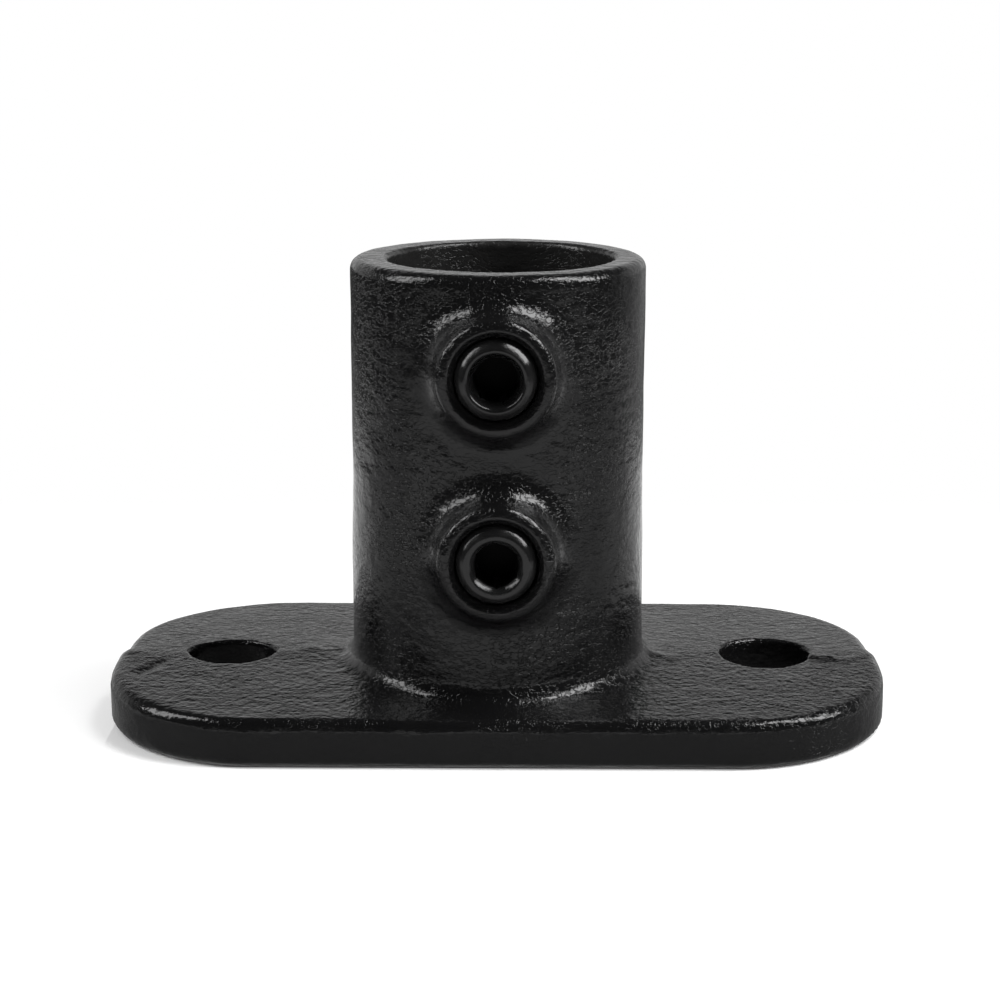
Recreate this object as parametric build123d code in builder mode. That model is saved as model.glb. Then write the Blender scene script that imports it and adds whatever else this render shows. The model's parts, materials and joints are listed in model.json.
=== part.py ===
"""Tube clamp base flange: a cast foot that holds an upright tube to a floor with two set screws.

The casting comes from a mould that parts on the XZ plane, so the plate slopes down from a ridge
at Y = 0, and its front half is a little longer than its back half.
Millimetres, +Z up along the tube. The origin is on the underside, midway between the floor bolts.
"""
import os
from math import atan, cos, degrees, radians, sin, tan

from build123d import *

os.makedirs("parts", exist_ok=True)

# Tube socket
tube_diameter = 33.7  # the 1 inch pipe that the fitting is made for
tube_clearance = 0.4  # on the radius
socket_wall = 5.25
core_shift = 0.6  # the bore and the screws lie this far to +X of the cast outside
rim_bevel = 1.05  # outer edge of the mouth
rim_bevel_break = 0.4  # both edges of that bevel, which makes it nearly round
bore_chamfer = 0.7  # both ends of the bore
socket_foot_bevel = 1.85  # fairing into the plate
socket_foot_break = 0.65  # both edges of that bevel, which makes it nearly round

# Floor plate
plate_length = 120.0  # front half
plate_width = 62.0
plate_thickness = 8.4  # on the ridge
plate_draft = 1.9  # degrees, from the ridge down to the front and the back edge
end_radius = 25.4
parting_step = 0.8  # the back half ends this far short of the front half
plate_top_radius = 1.8
plate_foot_chamfer = 1.2

# Floor bolt holes
bolt_hole_diameter = 14.2
bolt_spacing = 84.5
bolt_hole_chamfer = 0.4  # lower end

# Screw bosses
lower_screw_rise = 21.7  # lower screw above the ridge of the plate
screw_spacing = 27.2
rim_above_screw = 14.0  # mouth of the socket above the upper screw
boss_stand = 5.5  # boss face in front of the socket's outside
boss_wall = 2.6  # around the thread at the boss face
boss_draft = 7.0  # degrees
boss_rim_chamfer = 0.9
boss_foot_chamfer = 2.3

# Set screws, M12
thread_diameter = 12.0
thread_clearance = 0.05  # on the radius
tapped_mouth_chamfer = 0.7
screw_length = 12.0
screw_tip_gap = 0.4  # the tip waits this far outside the bore
screw_end_chamfer = 0.9
screw_tip_chamfer = 1.2
cup_radius = 3.8
cup_floor_radius = 0.4
cup_depth = 1.3
hex_across_flats = 6.0
hex_depth = 6.2
hex_mouth_radius = 3.95
hex_mouth_depth = 1.3

# Worked out from the sizes above
bore_radius = tube_diameter / 2 + tube_clearance
socket_radius = bore_radius + socket_wall
lower_screw_z = plate_thickness + lower_screw_rise
upper_screw_z = lower_screw_z + screw_spacing
socket_height = upper_screw_z + rim_above_screw
boss_face_y = -(socket_radius + boss_stand)
boss_face_radius = thread_diameter / 2 + boss_wall
boss_base_radius = boss_face_radius + boss_stand * tan(radians(boss_draft))
tapped_radius = thread_diameter / 2 + thread_clearance
screw_tip_y = -(bore_radius + screw_tip_gap)
screw_end_y = screw_tip_y - screw_length
screw_heights = {"lower": lower_screw_z, "upper": upper_screw_z}

# The foot of the upper boss and the bevelled rim share the room between the boss and the mouth
rim_room = rim_above_screw - boss_base_radius
room_between_bosses = screw_spacing - 2 * boss_base_radius
rim_bevel_size = min(rim_bevel, 0.3 * rim_room, 0.4 * (socket_wall - bore_chamfer))
rim_break_size = min(rim_bevel_break, 0.4 * rim_bevel_size)
boss_foot_size = min(boss_foot_chamfer, 0.5 * rim_room, 0.4 * room_between_bosses)


def mould_half(length, side):
    """What one half of the mould shapes: half of the plate, and half of the socket's outside."""
    slope = radians(plate_draft)
    top_plane = Plane((0, 0, plate_thickness), x_dir=(1, 0, 0), z_dir=(0, side * sin(slope), cos(slope)))
    slope_run = plate_top_radius + (plate_width / 2 - plate_top_radius * (1 - sin(slope))) / cos(slope)
    with BuildPart() as half:
        with BuildSketch(top_plane):
            RectangleRounded(length, 2 * slope_run, end_radius)
        extrude(amount=-plate_thickness)
        fillet(half.faces().sort_by(Axis.Z)[-1].edges(), radius=plate_top_radius)
        split(bisect_by=Plane.XY, keep=Keep.TOP)
        underside = half.faces().sort_by(Axis.Z)[0]
        chamfer(underside.edges(), length=plate_foot_chamfer)
        split(bisect_by=Plane.XZ, keep=Keep.TOP if side < 0 else Keep.BOTTOM)

        # Socket, faired into the plate
        with BuildSketch(Plane.XY.offset(plate_thickness / 2)):
            Circle(socket_radius)
            with Locations((0, side * socket_radius)):
                Rectangle(2 * socket_radius, 2 * socket_radius, mode=Mode.INTERSECT)
        extrude(amount=socket_height - plate_thickness / 2)
        chamfer(half.edges(Select.LAST).filter_by(GeomType.ELLIPSE), length=socket_foot_bevel)
        bevel_edges = half.edges(Select.LAST).filter_by(GeomType.BSPLINE).sort_by(SortBy.LENGTH)[-2:]
        chamfer(bevel_edges, length=socket_foot_break)
    return half.part


def set_screw(screw_z):
    """One set screw: hexagon socket to the front, cupped tip waiting just outside the bore."""
    outer_end = Plane((core_shift, screw_end_y, screw_z), x_dir=(1, 0, 0), z_dir=(0, -1, 0))
    with BuildPart() as screw:
        with BuildSketch(outer_end):
            Circle(thread_diameter / 2)
        extrude(amount=-screw_length)
        end_edges = screw.edges().filter_by(GeomType.CIRCLE).sort_by(Axis.Y)
        chamfer(end_edges[0], length=screw_end_chamfer)
        chamfer(end_edges[-1], length=screw_tip_chamfer)

        # Hexagon socket with a coned mouth
        with BuildSketch(outer_end):
            RegularPolygon(radius=hex_across_flats / 2, side_count=6, major_radius=False)
        extrude(amount=-hex_depth, mode=Mode.SUBTRACT)
        with BuildSketch(outer_end):
            Circle(hex_mouth_radius)
        mouth_taper = degrees(atan((hex_mouth_radius - hex_across_flats / 2) / hex_mouth_depth))
        extrude(amount=-hex_mouth_depth, taper=mouth_taper, mode=Mode.SUBTRACT)

        # Cup point
        with BuildSketch(outer_end.offset(-screw_length)):
            Circle(cup_radius)
        cup_taper = degrees(atan((cup_radius - cup_floor_radius) / cup_depth))
        extrude(amount=cup_depth, taper=cup_taper, mode=Mode.SUBTRACT)
    return screw.part


with BuildPart() as base_flange:
    add(mould_half(plate_length, -1))
    add(mould_half(plate_length - 2 * parting_step, 1))

    # Screw bosses on the front
    for screw_z in screw_heights.values():
        with BuildSketch(Plane((core_shift, boss_face_y, screw_z), x_dir=(1, 0, 0), z_dir=(0, 1, 0))):
            Circle(boss_face_radius)
        extrude(amount=boss_stand + socket_wall, taper=-boss_draft)
        boss_edges = base_flange.edges(Select.LAST)
        chamfer(boss_edges.filter_by(GeomType.CIRCLE), length=boss_rim_chamfer)
        chamfer(boss_edges.filter_by(GeomType.BSPLINE), length=boss_foot_size)

    # Rim of the mouth
    chamfer(base_flange.edges().group_by(Axis.Z)[-1], length=rim_bevel_size)
    chamfer(base_flange.edges(Select.LAST).filter_by(GeomType.CIRCLE), length=rim_break_size)

    # Bore
    with BuildSketch(Plane.XY.offset(socket_height)):
        with Locations((core_shift, 0)):
            Circle(bore_radius)
    extrude(amount=-socket_height, mode=Mode.SUBTRACT)
    chamfer(base_flange.edges(Select.LAST).filter_by(GeomType.CIRCLE), length=bore_chamfer)

    # Tapped holes for the set screws
    for screw_z in screw_heights.values():
        with BuildSketch(Plane((core_shift, boss_face_y, screw_z), x_dir=(1, 0, 0), z_dir=(0, 1, 0))):
            Circle(tapped_radius)
        extrude(amount=-boss_face_y, mode=Mode.SUBTRACT)
        tapped_edges = base_flange.edges(Select.LAST).filter_by(GeomType.CIRCLE).sort_by(Axis.Y)
        chamfer(tapped_edges[0], length=tapped_mouth_chamfer)

    # Floor bolt holes
    with GridLocations(bolt_spacing, 0, 2, 1):
        with Locations((0, 0, plate_thickness)):
            Hole(radius=bolt_hole_diameter / 2)
    chamfer(base_flange.edges(Select.LAST).filter_by(GeomType.CIRCLE), length=bolt_hole_chamfer)
base_flange.part.label = "base_flange"
export_step(base_flange.part, "parts/base_flange.step")

for name, screw_z in screw_heights.items():
    screw = set_screw(screw_z)
    screw.label = f"set_screw_{name}"
    export_step(screw, f"parts/set_screw_{name}.step")
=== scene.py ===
"""Looks of the tube clamp base flange: its coated casting, its two set screws and the studio round it.

Metres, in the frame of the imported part: +Z up along the tube, the screws on the -Y side.
"""

import json
from math import atan2, cos, hypot, pi, radians, sin, sqrt, tan

import bmesh
import bpy
from mathutils import Matrix, Vector, noise


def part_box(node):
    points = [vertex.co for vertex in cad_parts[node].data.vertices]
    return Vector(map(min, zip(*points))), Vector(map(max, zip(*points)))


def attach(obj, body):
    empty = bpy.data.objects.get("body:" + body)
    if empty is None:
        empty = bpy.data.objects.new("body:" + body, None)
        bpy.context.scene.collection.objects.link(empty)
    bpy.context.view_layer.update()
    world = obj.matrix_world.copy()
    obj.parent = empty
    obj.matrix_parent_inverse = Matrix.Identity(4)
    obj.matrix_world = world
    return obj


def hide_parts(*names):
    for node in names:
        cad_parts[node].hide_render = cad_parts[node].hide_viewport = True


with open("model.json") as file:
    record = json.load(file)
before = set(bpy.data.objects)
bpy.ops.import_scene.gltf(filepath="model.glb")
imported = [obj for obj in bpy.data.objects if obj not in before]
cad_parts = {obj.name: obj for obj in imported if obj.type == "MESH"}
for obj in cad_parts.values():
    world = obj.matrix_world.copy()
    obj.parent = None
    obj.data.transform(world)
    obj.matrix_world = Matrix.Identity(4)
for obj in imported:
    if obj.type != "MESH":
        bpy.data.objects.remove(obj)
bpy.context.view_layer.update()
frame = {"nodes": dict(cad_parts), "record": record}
MM = 0.001


def mount(name):
    """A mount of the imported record, by name."""
    return next(m for m in frame["record"]["mounts"] if m["name"] == name)


# Sizes that the frame gives
FLANGE_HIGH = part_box("base_flange")[1]
SOCKET = mount("tube_socket")
BORE_X = SOCKET["pos_m"][0]
BORE_R = SOCKET["dims"]["r_mm"] * MM
BOLTS = mount("floor_bolts")["dims"]
BOLT_X = BOLTS["spacing_x_mm"] / 2 * MM
BOLT_R = BOLTS["hole_r_mm"] * MM
RIM_Z = FLANGE_HIGH.z
SCREW_Z = [(low.z + high.z) / 2 for low, high in (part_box("set_screw_lower"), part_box("set_screw_upper"))]

# Sizes of the casting's outside
SOCKET_R = BORE_R + 5.25 * MM
SOCKET_FLARE = 0.30 * MM  # on the radius, towards the plate
FLARE_FULL_Z = 18 * MM  # full up to this height
FLARE_RUN = 20 * MM  # height over which the flare comes
SOCKET_LEAN = 0.004  # sideways per height, above LEAN_FROM_Z
LEAN_FROM_Z = 30 * MM
RIM_ROUND = 1.75 * MM
LIP_ROUND = 0.6 * MM
FOOT_ROUND = 2.7 * MM
PLATE_Z = 8.4 * MM  # on the ridge
PLATE_TILT = radians(1.9)
PLATE_HALF_LENGTH = FLANGE_HIGH.x
PLATE_HALF_WIDTH = FLANGE_HIGH.y + 0.08 * MM  # along the slope
PLATE_END_R = 25.0 * MM
PLATE_ROUND = 1.8 * MM
PLATE_FOOT_CHAMFER = 0.95 * MM
PLATE_FOOT_ROUND = 0.25 * MM
LEFT_END_LONGER = 0.3 * MM
PARTING_STEP = 0.8 * MM  # the back half is shorter by this at each end
LEFT_STEP_RUN = 1.2 * MM  # distance behind the ridge over which the step comes
RIGHT_STEP_RUN = 3.5 * MM
BOSS_X = BORE_X - 0.3 * MM  # the bosses sit a little aside of the bore
BOSS_FACE_Y = -SOCKET_R - 5.5 * MM
BOSS_BACK_Y = -0.9 * BORE_R  # bosses and tapped holes lie in front of this
BOSS_FACE_R = 8.6 * MM
BOSS_DRAFT = radians(7)
BOSS_ROUND = 1.4 * MM
BOSS_FAIRING = 3.3 * MM
TAPPED_R = 6.12 * MM
TAPPED_CHAMFER = 0.9 * MM
TAPPED_EDGE_ROUND = 0.12 * MM
BOLT_HOLE_ROUND = 0.45 * MM


# ---------------------------------------------------------------- mesh helpers

def new_piece(name, mesh):
    piece = bpy.data.objects.new(name, mesh)
    bpy.context.scene.collection.objects.link(piece)
    return piece


def as_piece(name, bm):
    mesh = bpy.data.meshes.new(name)
    bm.to_mesh(mesh)
    bm.free()
    return new_piece(name, mesh)


def baked(piece):
    """The mesh of a piece with its modifiers applied, in place of the one it had."""
    graph = bpy.context.evaluated_depsgraph_get()
    mesh = bpy.data.meshes.new_from_object(piece.evaluated_get(graph))
    old = piece.data
    piece.modifiers.clear()
    piece.data = mesh
    bpy.data.meshes.remove(old)
    return piece


def fade(distance, reach):
    """1 at distance 0, easing to 0 at the reach."""
    t = max(0.0, 1.0 - abs(distance) / reach)
    return t * t * (3 - 2 * t)


# ---------------------------------------------------------------- casting

SKIN_CELL = 0.82 * MM  # spacing of the skin's vertices
BOSS_ZONE = 2.4 * MM  # the skin is finer this far behind the boss faces,
RIM_ZONE = 2.6 * MM  # this far below the rim,
BOLT_HOLE_ZONE = 0.9 * MM  # and this far round the bolt holes,
PLATE_TOP_ZONE = 2 * MM  # down to this far below the plate's ridge

WAVES = (  # the cast surface: (spacing, height) of each scale of unevenness
    (11.0 * MM, 0.10 * MM),
    (4.2 * MM, 0.045 * MM),
    (2.1 * MM, 0.016 * MM),
)

PLATE_MARKS = (  # flash, bumps and dents on the plate's top: (x, y, reach, height), millimetres
    (-55.6, -10.8, 1.5, -0.30), (-54.9, -9.7, 1.5, -0.35), (-54.3, -8.6, 1.6, -0.40),
    (-53.6, -7.2, 1.6, -0.40), (-52.9, -5.8, 1.5, -0.30),
    (49.6, -2.1, 1.5, 0.30), (51.0, -2.5, 1.5, 0.25), (52.3, -3.0, 1.7, 0.40),
    (54.5, -3.9, 1.5, 0.25), (56.0, -2.8, 1.4, 0.15), (57.4, -1.5, 1.6, 0.18),
    (23.3, -1.9, 1.6, 0.30), (24.9, -1.9, 1.8, 0.35), (27.5, -2.8, 1.8, 0.30),
    (-24.8, -0.5, 1.4, -0.30), (-57.6, -1.0, 1.6, 0.15), (-29.5, 1.2, 2.4, 0.18),
)
MARKS_ABOVE = 1.6 * MM  # the marks lie between these heights above and below the plate's ridge
MARKS_BELOW = 2.5 * MM

# The left bolt hole's lip: (shift of the arc's centre, arc's radius)
FRONT_LIP = (1.08 * MM, 7.08 * MM)
BACK_LIP = (-1.8 * MM, 7.22 * MM)
LIP_REACH = 4 * MM  # how far round the hole the plate follows the lip
LIP_DEPTH = 6 * MM


def uneven(co):
    """Height of the cast surface's own unevenness at a point."""
    height = 0.0
    for spacing, amount in WAVES:
        height += amount * noise.noise(co / spacing)
    return height


def marked(co):
    """Height of the plate's marks at a point, which fade out away from its top."""
    if not PLATE_Z - MARKS_BELOW <= co.z <= PLATE_Z + MARKS_ABOVE:
        return 0.0
    height = 0.0
    for x, y, reach, amount in PLATE_MARKS:
        height += amount * MM * fade(hypot(co.x - x * MM, co.y - y * MM), reach * MM)
    return height


def rounded_both(a, b, radius):
    """Distance to what lies inside two shapes, with the edge where they meet rounded."""
    return min(max(a, b), -radius) + hypot(max(a + radius, 0), max(b + radius, 0))


def rounded_either(a, b, radius):
    """Distance to what lies inside either of two shapes, with a fillet where they meet."""
    return max(min(a, b), radius) - hypot(max(radius - a, 0), max(radius - b, 0))


def plate_shape(x, y, z):
    """Distance to the floor plate: its two halves slope down from the ridge, and the back one is shorter."""
    across = abs(y) * cos(PLATE_TILT) - (z - PLATE_Z) * sin(PLATE_TILT)
    above = abs(y) * sin(PLATE_TILT) + (z - PLATE_Z) * cos(PLATE_TILT)
    step_run, longer = (LEFT_STEP_RUN, LEFT_END_LONGER) if x < 0 else (RIGHT_STEP_RUN, 0.0)
    shorter = PARTING_STEP * min(max(y / step_run, 0.0), 1.0)
    over_x = abs(x) - PLATE_HALF_LENGTH + PLATE_END_R + shorter - longer
    over_y = across - PLATE_HALF_WIDTH + PLATE_END_R
    outline = hypot(max(over_x, 0), max(over_y, 0)) + min(max(over_x, over_y), 0) - PLATE_END_R
    return max(rounded_both(outline, above, PLATE_ROUND), (outline - z + PLATE_FOOT_CHAMFER) * sqrt(0.5))


def casting_shape(x, y, z):
    """Distance to the casting: plate, socket, bosses and fairings, less the bore and all the holes."""
    flare = SOCKET_FLARE * fade(max(0.0, z - FLARE_FULL_Z), FLARE_RUN)
    lean = SOCKET_LEAN * max(0.0, z - LEAN_FROM_Z)
    wall = rounded_both(hypot(x - lean, y) - SOCKET_R - flare, z - RIM_Z, RIM_ROUND)
    shape = rounded_either(wall, plate_shape(x, y, z), FOOT_ROUND)
    if y < BOSS_BACK_Y:
        for screw_z in SCREW_Z:
            around = hypot(x - BOSS_X, z - screw_z)
            inward = y - BOSS_FACE_Y
            side = (around - BOSS_FACE_R - inward * tan(BOSS_DRAFT)) * cos(BOSS_DRAFT)
            boss = rounded_both(side, -inward, BOSS_ROUND)
            shape = rounded_either(shape, boss, BOSS_FAIRING)
            hole = max(TAPPED_R - around, (TAPPED_R + TAPPED_CHAMFER - around - inward) * sqrt(0.5))
            shape = rounded_both(shape, hole, TAPPED_EDGE_ROUND)
    if z < PLATE_Z + 3 * MM:
        shape = rounded_both(shape, BOLT_R - hypot(abs(x) - BOLT_X, y), BOLT_HOLE_ROUND)
        shape = rounded_both(shape, -z, PLATE_FOOT_ROUND)
    return rounded_both(shape, BORE_R - hypot(x - BORE_X, y), LIP_ROUND)


def in_tapped_hole(co):
    """Whether a point lies on the wall of a tapped hole, which is machined."""
    return co.y < 0 and any(hypot(co.x - BOSS_X, co.z - screw_z) < TAPPED_R + 0.3 * MM for screw_z in SCREW_Z)


def trued(verts):
    """Moves the skin's vertices onto the casting's shape, in a few steps down the slope of the distance."""
    step, close_enough, too_far = 0.01 * MM, 0.002 * MM, 1.6 * MM
    too_flat, least_steep = 0.2, 0.5  # for the square of the slope
    for v in verts:
        x, y, z = v.co
        for _ in range(3):
            here = casting_shape(x, y, z)
            if not close_enough <= abs(here) <= too_far:
                break
            slope = Vector((casting_shape(x + step, y, z) - here, casting_shape(x, y + step, z) - here,
                            casting_shape(x, y, z + step) - here)) / step
            steep = slope.length_squared
            if steep < too_flat:
                break
            x, y, z = Vector((x, y, z)) - slope * (here / max(steep, least_steep))
        v.co = (x, y, z)


def lens(x, y):
    """Radius of the left bolt hole's lip in a direction: two arcs that meet in points on the ridge."""
    turn = atan2(y, x)
    shift, arc = FRONT_LIP if y < 0 else BACK_LIP
    return shift * sin(turn) + sqrt(arc * arc - (shift * cos(turn)) ** 2)


def close_hole(co):
    """Pulls the edge of the left bolt hole in to its lip, on the plate's top."""
    x, y = co.x + BOLT_X, co.y
    away = hypot(x, y)
    if not 0 < away <= BOLT_R + LIP_REACH:
        return
    pull = (BOLT_R - lens(x, y)) * fade(away - BOLT_R, LIP_REACH) * fade(co.z - PLATE_Z, LIP_DEPTH)
    co.x -= x / away * pull
    co.y -= y / away * pull


def soften(bm, times):
    """Rounds edges a little and keeps the size: each pass in is followed by a weaker pass out."""
    for _ in range(times):
        for factor in (0.5, -0.44):
            bmesh.ops.smooth_vert(bm, verts=bm.verts, factor=factor,
                                  use_axis_x=True, use_axis_y=True, use_axis_z=True)


def refined(bm, chosen, cuts):
    """Divides the skin's faces where finer shapes are."""
    faces = [f for f in bm.faces if chosen(f.calc_center_median())]
    edges = list({e for f in faces for e in f.edges})
    bmesh.ops.subdivide_edges(bm, edges=edges, cuts=cuts, use_grid_fill=True)


def cast_skin():
    """The casting as one fine skin, taken from the solid, trued to its shape and made uneven."""
    source = frame["nodes"]["base_flange"].data.copy()
    bm = bmesh.new()
    bm.from_mesh(source)
    bmesh.ops.remove_doubles(bm, verts=bm.verts, dist=0.002 * MM)
    bm.to_mesh(source)
    bm.free()
    source.materials.clear()
    piece = new_piece("casting", source)
    remesh = piece.modifiers.new("skin", "REMESH")
    remesh.mode = "VOXEL"
    remesh.voxel_size = SKIN_CELL
    remesh.adaptivity = 0
    baked(piece)

    bm = bmesh.new()
    bm.from_mesh(piece.data)
    soften(bm, 4)
    refined(bm, lambda co: co.y < BOSS_FACE_Y + BOSS_ZONE, 2)
    refined(bm, lambda co: co.z > RIM_Z - RIM_ZONE, 1)
    refined(bm, lambda co: co.z > PLATE_Z - PLATE_TOP_ZONE
            and hypot(abs(co.x) - BOLT_X, co.y) < BOLT_R + BOLT_HOLE_ZONE, 1)
    trued(bm.verts)
    for v in bm.verts:
        close_hole(v.co)
    bm.normal_update()
    underside = 0.4 * MM  # it stays flat up to here
    for v in bm.verts:
        if v.co.z > underside and not in_tapped_hole(v.co):
            v.co += v.normal * (uneven(v.co) + marked(v.co))
    for f in bm.faces:
        f.smooth = True
    bm.to_mesh(piece.data)
    bm.free()
    return piece


# ---------------------------------------------------------------- set screws

THREAD_PITCH = 1.75 * MM
THREAD_DEPTH = 0.95 * MM
THREAD_START = 1.0 * MM  # depth below the socket end
GROOVE_PEAK = 1.35  # the groove's profile is a tent of this height and slope, cut off at 0 and 1
GROOVE_SLOPE = 1.7
ROWS_PER_PITCH = 10
TURN_STEPS = 96
CUTTER_OVER = 0.5 * MM  # the cutters stand this far out of the socket end
SCREW_SINKS = {"upper": 0.95 * MM, "lower": 1.25 * MM}  # how much deeper the socket end lies than the solid's
SHOULDERS = {  # from the flat ring round the socket out to the thread: (depth, radius), millimetres
    "upper": ((0.0, 4.60), (0.04, 4.68), (0.95, 5.54), (1.25, 5.80), (1.6, 5.95), (2.2, 6.0)),
    "lower": ((0.0, 4.78), (0.04, 4.86), (0.85, 5.62), (1.1, 5.82), (1.5, 5.95), (2.2, 6.0)),
}
MOUTHS = {  # from the flat ring down into the socket: (depth, radius), millimetres
    "upper": ((0.0, 4.35), (0.05, 4.22), (0.2, 4.05), (0.45, 3.87), (0.75, 3.74), (1.2, 3.62), (2.0, 2.95)),
    "lower": ((0.0, 4.08), (0.04, 3.98), (0.15, 3.86), (0.75, 3.28), (1.0, 3.12), (1.7, 2.95)),
}
TIP_SLOPE = 1.2 * MM
HEX_FLATS = 6.0 * MM
HEX_DEPTH = 6.2 * MM
CUP_R = 3.8 * MM
CUP_FLOOR_R = 0.4 * MM
CUP_DEPTH = 1.3 * MM


def along(steps, depth):
    """Radius at a depth, on straight lines between (depth, radius) steps in millimetres."""
    for (depth_a, radius_a), (depth_b, radius_b) in zip(steps, steps[1:]):
        if depth <= depth_b * MM:
            return (radius_a + (radius_b - radius_a) * (depth / MM - depth_a) / (depth_b - depth_a)) * MM
    return steps[-1][1] * MM


def spun(profile):
    """A closed body of revolution about Z from a profile that starts and ends on the axis."""
    bm = bmesh.new()
    verts = [bm.verts.new((radius, 0, height)) for radius, height in profile]
    edges = [bm.edges.new(pair) for pair in zip(verts, verts[1:])]
    bmesh.ops.spin(bm, geom=verts + edges, cent=(0, 0, 0), axis=(0, 0, 1), angle=2 * pi, steps=TURN_STEPS,
                   use_merge=True, use_duplicate=False)
    bmesh.ops.remove_doubles(bm, verts=bm.verts, dist=0.001 * MM)
    bmesh.ops.recalc_face_normals(bm, faces=bm.faces)
    return bm


def screw_blank(length, radius, shoulder):
    """A threaded blank along +Z from 0 to its length, its socket end at the top, with a cup in its tip."""
    rows = round(length / THREAD_PITCH * ROWS_PER_PITCH)
    heights = [length * row / rows for row in range(rows) if length * row / rows < length - THREAD_START]
    heights += [length - depth * MM for depth, _ in reversed(shoulder) if depth * MM < THREAD_START]
    profile = [(0, CUP_DEPTH), (CUP_FLOOR_R, CUP_DEPTH), (CUP_R, 0)] + [(radius, height) for height in heights]
    bm = spun(profile + [(0, length)])
    for v in bm.verts:
        away = hypot(v.co.x, v.co.y)
        if away < radius - 0.01 * MM:
            continue
        depth = length - v.co.z
        phase = (v.co.z / THREAD_PITCH - atan2(v.co.y, v.co.x) / (2 * pi)) % 1
        groove = min(1.0, max(0.0, GROOVE_PEAK - abs(phase - 0.5) * 2 * GROOVE_SLOPE))
        groove *= min(1.0, max(0.0, (depth - THREAD_START) / THREAD_PITCH))
        reach = min(radius - THREAD_DEPTH * groove, along(shoulder, depth), radius - TIP_SLOPE + v.co.z)
        v.co.x *= reach / away
        v.co.y *= reach / away
    return bm


def key_cutter(length):
    """What a hexagon key's socket takes out of the blank."""
    bm = bmesh.new()
    middle = length - HEX_DEPTH / 2 + CUTTER_OVER / 2
    bmesh.ops.create_cone(bm, cap_ends=True, segments=6, radius1=HEX_FLATS / sqrt(3), radius2=HEX_FLATS / sqrt(3),
                          depth=HEX_DEPTH + CUTTER_OVER, matrix=Matrix.Translation((0, 0, middle)))
    return bm


def mouth_cutter(length, mouth):
    """What the rounded mouth of the socket takes out of the blank."""
    wide, deep = mouth[0][1] * MM, mouth[-1][0] * MM
    profile = [(0, length + CUTTER_OVER), (wide, length + CUTTER_OVER)]
    profile += [(radius * MM, length - depth * MM) for depth, radius in mouth]
    return spun(profile + [(0, length - deep)])


def set_screw(which, turn):
    """A set screw in the place of its solid: thread, hexagon socket with a rounded mouth, cup point."""
    name = which + "_screw"
    low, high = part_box("set_screw_" + which)
    length = high.y - low.y - SCREW_SINKS[which]
    radius = (high.x - low.x) / 2
    screw = as_piece(name, screw_blank(length, radius, SHOULDERS[which]))
    for cutter in (key_cutter(length), mouth_cutter(length, MOUTHS[which])):
        tool = as_piece(name + "_tool", cutter)
        cut = screw.modifiers.new("cut", "BOOLEAN")
        cut.operation = "DIFFERENCE"
        cut.solver = "EXACT"
        cut.object = tool
        baked(screw)
        bpy.data.objects.remove(tool)
    place = Matrix.Translation((BOSS_X, high.y, (low.z + high.z) / 2))
    screw.data.transform(place @ Matrix.Rotation(pi / 2, 4, "X") @ Matrix.Rotation(turn, 4, "Z"))
    for polygon in screw.data.polygons:
        polygon.use_smooth = True
    screw.data.set_sharp_from_angle(angle=radians(32))
    return screw


# ---------------------------------------------------------------- finishes

def shader(name):
    material = bpy.data.materials.new(name)
    material.use_nodes = True
    nodes, links = material.node_tree.nodes, material.node_tree.links
    return material, nodes, links, nodes["Principled BSDF"]


def place_in(nodes, kind):
    """A place on the piece, as a vector: "Object" or, for the sky, "Generated"."""
    return nodes.new("ShaderNodeTexCoord").outputs[kind]


def parts_of(nodes, links, vector):
    """The X, Y and Z of a vector."""
    split = nodes.new("ShaderNodeSeparateXYZ")
    links.new(vector, split.inputs[0])
    return split.outputs


def stretched(nodes, links, vector, by):
    """A vector with each of its parts multiplied by a number."""
    node = nodes.new("ShaderNodeVectorMath")
    node.operation = "MULTIPLY"
    links.new(vector, node.inputs[0])
    node.inputs[1].default_value = by
    return node.outputs["Vector"]


def away_from(nodes, links, vector, centre):
    """The distance of a place from a centre."""
    node = nodes.new("ShaderNodeVectorMath")
    node.operation = "DISTANCE"
    links.new(vector, node.inputs[0])
    node.inputs[1].default_value = centre
    return node.outputs["Value"]


def grain(nodes, links, place, scale, detail):
    texture = nodes.new("ShaderNodeTexNoise")
    texture.inputs["Scale"].default_value = scale
    texture.inputs["Detail"].default_value = detail
    links.new(place, texture.inputs["Vector"])
    return texture.outputs["Fac"]


def ramp(nodes, links, source, low, high, out_low, out_high, kind="LINEAR"):
    node = nodes.new("ShaderNodeMapRange")
    node.interpolation_type = kind
    node.inputs["From Min"].default_value = low
    node.inputs["From Max"].default_value = high
    node.inputs["To Min"].default_value = out_low
    node.inputs["To Max"].default_value = out_high
    links.new(source, node.inputs["Value"])
    return node.outputs["Result"]


def sums(nodes, links, operation, first, second):
    """A math node: both inputs are sockets, or the second is a number."""
    node = nodes.new("ShaderNodeMath")
    node.operation = operation
    links.new(first, node.inputs[0])
    if isinstance(second, float):
        node.inputs[1].default_value = second
    else:
        links.new(second, node.inputs[1])
    return node.outputs[0]


def bumped(nodes, links, height, distance, under=None):
    node = nodes.new("ShaderNodeBump")
    node.inputs["Strength"].default_value = 1.0
    node.inputs["Distance"].default_value = distance
    links.new(height, node.inputs["Height"])
    if under:
        links.new(under, node.inputs["Normal"])
    return node.outputs["Normal"]


def tinted(nodes, links, shader_node, source, dark, light):
    """A colour that varies between two greys with a texture."""
    colour = nodes.new("ShaderNodeMix")
    colour.data_type = "RGBA"
    colour.inputs["A"].default_value = dark
    colour.inputs["B"].default_value = light
    links.new(source, colour.inputs["Factor"])
    links.new(colour.outputs["Result"], shader_node.inputs["Base Color"])


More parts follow.
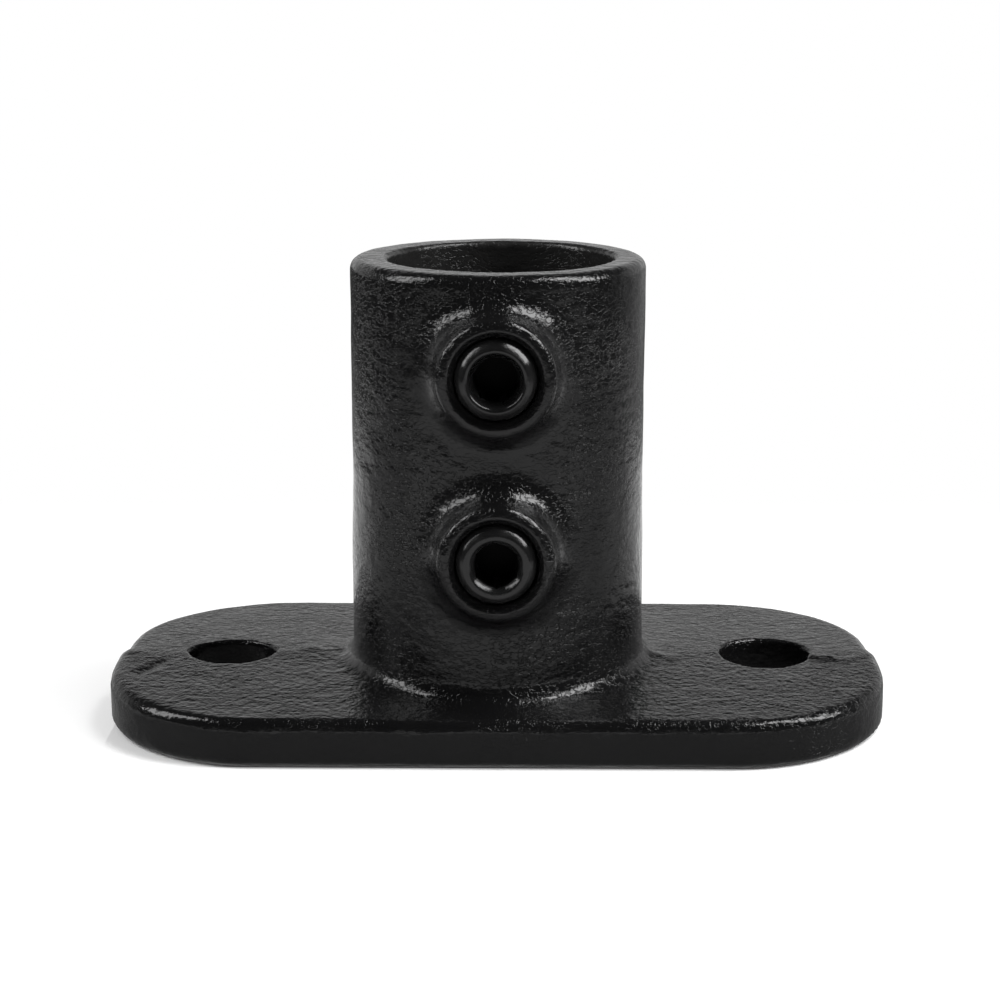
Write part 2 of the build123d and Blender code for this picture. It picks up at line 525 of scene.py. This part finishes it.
# Grains of the coat's surface: (scale, height)
LUMPS = (330, 0.17 * MM)
RIPPLES = (900, 0.22 * MM)
CREASES = (760, 0.04 * MM)
SPECKLE = (2600, 0.012 * MM)
CREASE_STRETCH = (1.0, 1.0, 1.7)  # creases and lumps are flatter than wide


def inside_bore(nodes, links, place):
    """1 on the wall of the bore, 0 outside it."""
    axis_off = away_from(nodes, links, stretched(nodes, links, place, (1, 1, 0)), (BORE_X, 0, 0))
    return ramp(nodes, links, axis_off, BORE_R + 0.2 * MM, BORE_R + 0.8 * MM, 1.0, 0.0)


def creases(nodes, links, place, level_place):
    """Level creases round the socket: where a fine grain passes its middle value, deeper in patches."""
    depth = ramp(nodes, links, grain(nodes, links, place, 55, 2), 0.38, 0.62, 0.15, 1.0)
    fine = grain(nodes, links, level_place, CREASES[0], 2)
    off_middle = sums(nodes, links, "ABSOLUTE", sums(nodes, links, "SUBTRACT", fine, 0.5), 0.0)
    return sums(nodes, links, "MULTIPLY", ramp(nodes, links, off_middle, 0.0, 0.05, 0.0, 1.0, "SMOOTHSTEP"), depth)


def ripples(nodes, links, place):
    """The sand's ripples, which show most on the plate's top."""
    facing = nodes.new("ShaderNodeNewGeometry").outputs["Normal"]
    flat = ramp(nodes, links, parts_of(nodes, links, facing)["Z"], 0.75, 0.97, 0.30, 1.0)
    return sums(nodes, links, "MULTIPLY", grain(nodes, links, place, RIPPLES[0], 2), flat)


def black_coat():
    """Gloss black coating over a sand cast surface, duller inside the bore and painted a little paler there, as
    painted light that lifts the bore's shade.
    """
    material, nodes, links, coat = shader("black_coat")
    place = place_in(nodes, "Object")
    level_place = stretched(nodes, links, place, CREASE_STRETCH)
    inside = inside_bore(nodes, links, place)

    mottle = sums(nodes, links, "MULTIPLY", grain(nodes, links, place, 90, 4), 0.2)
    # painted light: the bore's wall takes the paler grey, lifting its shade; elsewhere the grey varies at random
    shade = sums(nodes, links, "MAXIMUM", mottle, inside)
    tinted(nodes, links, coat, shade, (0.0030, 0.0030, 0.0032, 1), (0.0140, 0.0138, 0.0136, 1))
    shine = ramp(nodes, links, grain(nodes, links, place, 160, 5), 0.3, 0.7, 0.09, 0.18)
    duller = sums(nodes, links, "MULTIPLY", inside, 0.12)
    links.new(sums(nodes, links, "ADD", shine, duller), coat.inputs["Roughness"])
    coat.inputs["Specular IOR Level"].default_value = 0.27

    normal = bumped(nodes, links, grain(nodes, links, level_place, LUMPS[0], 2), LUMPS[1])
    normal = bumped(nodes, links, ripples(nodes, links, place), RIPPLES[1], normal)
    normal = bumped(nodes, links, creases(nodes, links, place, level_place), CREASES[1], normal)
    normal = bumped(nodes, links, grain(nodes, links, place, SPECKLE[0], 2), SPECKLE[1], normal)
    links.new(normal, coat.inputs["Normal"])
    return material


def black_oxide():
    """Blackened steel of the screws, smoother than the casting, with painted shade deep in the sockets: near-black
    colour, more roughness and a low specular level there.
    """
    material, nodes, links, steel = shader("black_oxide")
    place = place_in(nodes, "Object")
    across = stretched(nodes, links, place, (1, 0, 1))
    axes_off = [away_from(nodes, links, across, (BOSS_X, 0, screw_z)) for screw_z in SCREW_Z]
    # painted shade in the sockets: 0 within 3.1 mm of a screw's axis, where the colour goes near black, the
    # roughness up and the specular level down; 1 beyond 3.5 mm
    beyond_socket_shade = ramp(nodes, links, sums(nodes, links, "MINIMUM", *axes_off), 3.1 * MM, 3.5 * MM, 0.0, 1.0)

    tone = grain(nodes, links, place, 400, 4)
    shade = sums(nodes, links, "MULTIPLY", ramp(nodes, links, tone, 0.2, 0.8, 0.3, 1.0), beyond_socket_shade)
    tinted(nodes, links, steel, shade, (0.0008, 0.0008, 0.0008, 1), (0.010, 0.010, 0.0102, 1))
    shine = sums(nodes, links, "MULTIPLY", ramp(nodes, links, tone, 0.3, 0.7, 0.36, 0.24), beyond_socket_shade)
    links.new(ramp(nodes, links, shine, 0.0, 0.3, 0.55, 0.16), steel.inputs["Roughness"])
    links.new(ramp(nodes, links, beyond_socket_shade, 0.0, 1.0, 0.05, 0.30), steel.inputs["Specular IOR Level"])
    links.new(bumped(nodes, links, grain(nodes, links, place, 1800, 2), 0.02 * MM), steel.inputs["Normal"])
    return material


# ---------------------------------------------------------------- studio

CAMERA_PLACE = Vector((6.06, -335.46, 116.55)) * MM
CAMERA_PITCH = 0.2439  # radians, downwards
CAMERA_YAW = -0.0169
CAMERA_ROLL = -0.0019
CAMERA_LENS = 79.65  # millimetres, on a sensor 36 wide

DIFFUSE_LEVEL = 0.38  # of the white round the flange, for all but the camera and reflections
BACKDROP_UP = ((0.0, 0.72), (0.20, 0.57), (0.36, 0.62), (0.50, 0.20), (0.62, 0.05))  # (upward part, brightness)
SHEET_MIDDLE = (0.0, -0.12, 0)
# The floor's sheet as reflections see it: (distance from its middle, brightness)
SHEET = ((0.0, 1.06), (0.17, 1.06), (0.21, 0.92), (0.26, 0.90), (0.285, 0.72), (0.32, 0.28), (0.37, 0.18),
         (0.48, 0.06))
# painted shadow of the plate in the floor's glow as reflections see it: dim under the plate and close to it
PAINTED_PLATE_SHADOW = ((0.0, 0.10), (0.033, 0.42), (0.052, 0.48), (0.066, 1.06))  # (distance, share of that brightness)
END_IN = 0.029  # taken off X, so that the plate's ends and its sides lie at about the same distance
PLATE_COVER = 30.2 * MM  # the floor stays matt under the plate
SOFTBOXES = (  # (name, around, above, distance, width, height, watts)
    ("left_softbox", -86, 38, 0.75, 0.24, 0.58, 3.6),
    ("right_softbox", 82, 48, 0.75, 0.28, 0.66, 8.4),
)


def add_camera():
    data = bpy.data.cameras.new("camera")
    data.sensor_width = 36
    data.lens = CAMERA_LENS
    camera = bpy.data.objects.new("camera", data)
    bpy.context.scene.collection.objects.link(camera)
    ahead = Vector((sin(CAMERA_YAW) * cos(CAMERA_PITCH), cos(CAMERA_YAW) * cos(CAMERA_PITCH), -sin(CAMERA_PITCH)))
    right = Vector((cos(CAMERA_YAW), -sin(CAMERA_YAW), 0))
    up = right.cross(ahead)
    x_axis = right * cos(CAMERA_ROLL) + up * sin(CAMERA_ROLL)
    y_axis = up * cos(CAMERA_ROLL) - right * sin(CAMERA_ROLL)
    turned = Matrix((x_axis, y_axis, -ahead)).transposed().to_4x4()
    camera.matrix_world = Matrix.Translation(CAMERA_PLACE) @ turned
    bpy.context.scene.camera = camera


def seen_white(nodes, links):
    """1 for the camera's, glossy and transmitted rays; and, apart, 1 for the camera's alone."""
    path = nodes.new("ShaderNodeLightPath")
    seen = sums(nodes, links, "MAXIMUM", path.outputs["Is Camera Ray"], path.outputs["Is Glossy Ray"])
    return sums(nodes, links, "MAXIMUM", seen, path.outputs["Is Transmission Ray"]), path.outputs["Is Camera Ray"]


def stepped(nodes, links, source, stops):
    """A grey that runs through (place, value) stops along its source, as a number."""
    node = nodes.new("ShaderNodeValToRGB")
    elements = node.color_ramp.elements
    while len(elements) < len(stops):
        elements.new(1.0)
    for element, (place, value) in zip(elements, stops):
        element.position = place
        element.color = (value, value, value, 1)
    links.new(source, node.inputs["Fac"])
    return node.outputs["Color"]


def absolute(nodes, links, source):
    return sums(nodes, links, "ABSOLUTE", source, 0.0)


def mixed(nodes, links, share, first, second):
    """Two shaders mixed by a share of the second."""
    mix = nodes.new("ShaderNodeMixShader")
    links.new(share, mix.inputs["Fac"])
    links.new(first.outputs[0], mix.inputs[1])
    links.new(second.outputs[0], mix.inputs[2])
    return mix.outputs[0]


def add_world():
    """White all round for the camera; in reflections a pale backdrop at the back that darkens upwards."""
    world = bpy.data.worlds.new("studio")
    bpy.context.scene.world = world
    world.use_nodes = True
    nodes, links = world.node_tree.nodes, world.node_tree.links
    nodes.clear()
    seen, camera = seen_white(nodes, links)
    heading = parts_of(nodes, links, place_in(nodes, "Generated"))
    upward = stepped(nodes, links, heading["Z"], BACKDROP_UP)
    backward = ramp(nodes, links, heading["Y"], 0.05, 0.60, 0.10, 1.0, "SMOOTHSTEP")
    backdrop = sums(nodes, links, "MULTIPLY", upward, backward)
    white = nodes.new("ShaderNodeBackground")
    white.inputs["Color"].default_value = (1, 1, 1, 1)
    links.new(sums(nodes, links, "MAXIMUM", backdrop, camera), white.inputs["Strength"])
    dim = nodes.new("ShaderNodeBackground")
    dim.inputs["Color"].default_value = (1, 1, 1, 1)
    dim.inputs["Strength"].default_value = DIFFUSE_LEVEL
    out = nodes.new("ShaderNodeOutputWorld")
    links.new(mixed(nodes, links, seen, dim, white), out.inputs["Surface"])


def sheet_brightness(nodes, links, place, x, y, around):
    """How bright reflections see the floor, which glows for them: a white sheet in front, with painted shadow
    close to and under the plate, darker at its sides.
    """
    sheet = stepped(nodes, links, away_from(nodes, links, place, SHEET_MIDDLE), SHEET)
    right_back = sums(nodes, links, "MULTIPLY", ramp(nodes, links, x, 0.07, 0.16, 0.0, 0.34),
                      ramp(nodes, links, y, 0.05, 0.15, 0.3, 1.0))
    sideways = sums(nodes, links, "MAXIMUM", absolute(nodes, links, x), 0.01)
    steepness = sums(nodes, links, "DIVIDE", absolute(nodes, links, y), sideways)
    beside = ramp(nodes, links, steepness, 0.32, 0.52, 0.62, 1.0)
    # painted shadow: the glow drops close to the plate and under it
    near = sums(nodes, links, "MULTIPLY", stepped(nodes, links, around, PAINTED_PLATE_SHADOW), beside)
    return sums(nodes, links, "MULTIPLY", sums(nodes, links, "MAXIMUM", sheet, right_back), near)


def add_floor():
    """A pale floor that keeps the flange's shadow and turns white further out for the camera; reflections see it
    glow instead, with painted shadow near the plate.
    """
    bm = bmesh.new()
    bmesh.ops.create_circle(bm, cap_ends=True, segments=64, radius=3.0)
    floor = as_piece("floor", bm)
    material = bpy.data.materials.new("pale_floor")
    material.use_nodes = True
    nodes, links = material.node_tree.nodes, material.node_tree.links
    nodes.clear()
    matt = nodes.new("ShaderNodeBsdfDiffuse")
    matt.inputs["Color"].default_value = (0.9, 0.9, 0.9, 1)
    white = nodes.new("ShaderNodeEmission")
    seen, camera = seen_white(nodes, links)
    place = place_in(nodes, "Object")
    parts = parts_of(nodes, links, place)
    x, y = parts["X"], parts["Y"]
    past_ends = sums(nodes, links, "SUBTRACT", absolute(nodes, links, x), END_IN)
    around = sums(nodes, links, "MAXIMUM", past_ends, absolute(nodes, links, y))
    outside = sums(nodes, links, "GREATER_THAN", around, PLATE_COVER)
    shown = sums(nodes, links, "MULTIPLY", ramp(nodes, links, around, 0.031, 0.13, 0.35, 1.0), outside)
    mirrored = sums(nodes, links, "SUBTRACT", seen, camera)
    white_share = sums(nodes, links, "ADD", sums(nodes, links, "MULTIPLY", camera, shown), mirrored)
    lit = sheet_brightness(nodes, links, place, x, y, around)
    links.new(sums(nodes, links, "MAXIMUM", lit, camera), white.inputs["Strength"])
    out = nodes.new("ShaderNodeOutputMaterial")
    links.new(mixed(nodes, links, white_share, matt, white), out.inputs["Surface"])
    floor.data.materials.append(material)


def add_softbox(name, around, above, distance, width, height, watts):
    """A soft light aimed at the flange. around is its angle from -Y towards +X, above its elevation."""
    data = bpy.data.lights.new(name, "AREA")
    data.shape = "RECTANGLE"
    data.size, data.size_y = width, height
    data.energy = watts
    light = bpy.data.objects.new(name, data)
    bpy.context.scene.collection.objects.link(light)
    a, e = radians(around), radians(above)
    away = Vector((sin(a) * cos(e), -cos(a) * cos(e), sin(e)))
    aim = Vector((0, 0, RIM_Z / 2))
    light.location = aim + away * distance
    light.rotation_mode = "QUATERNION"
    light.rotation_quaternion = away.to_track_quat("Z", "Y")


# ---------------------------------------------------------------- assembly

coat = black_coat()
oxide = black_oxide()

casting = cast_skin()
casting.data.materials.append(coat)
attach(casting, "casting")
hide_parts("base_flange")

for which, turn in (("upper", radians(18)), ("lower", radians(0))):
    screw = set_screw(which, turn)
    screw.data.materials.append(oxide)
    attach(screw, which + "_screw")
    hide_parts("set_screw_" + which)

add_camera()
add_world()
add_floor()
for softbox in SOFTBOXES:
    add_softbox(*softbox)
bpy.context.scene.view_settings.view_transform = "Standard"
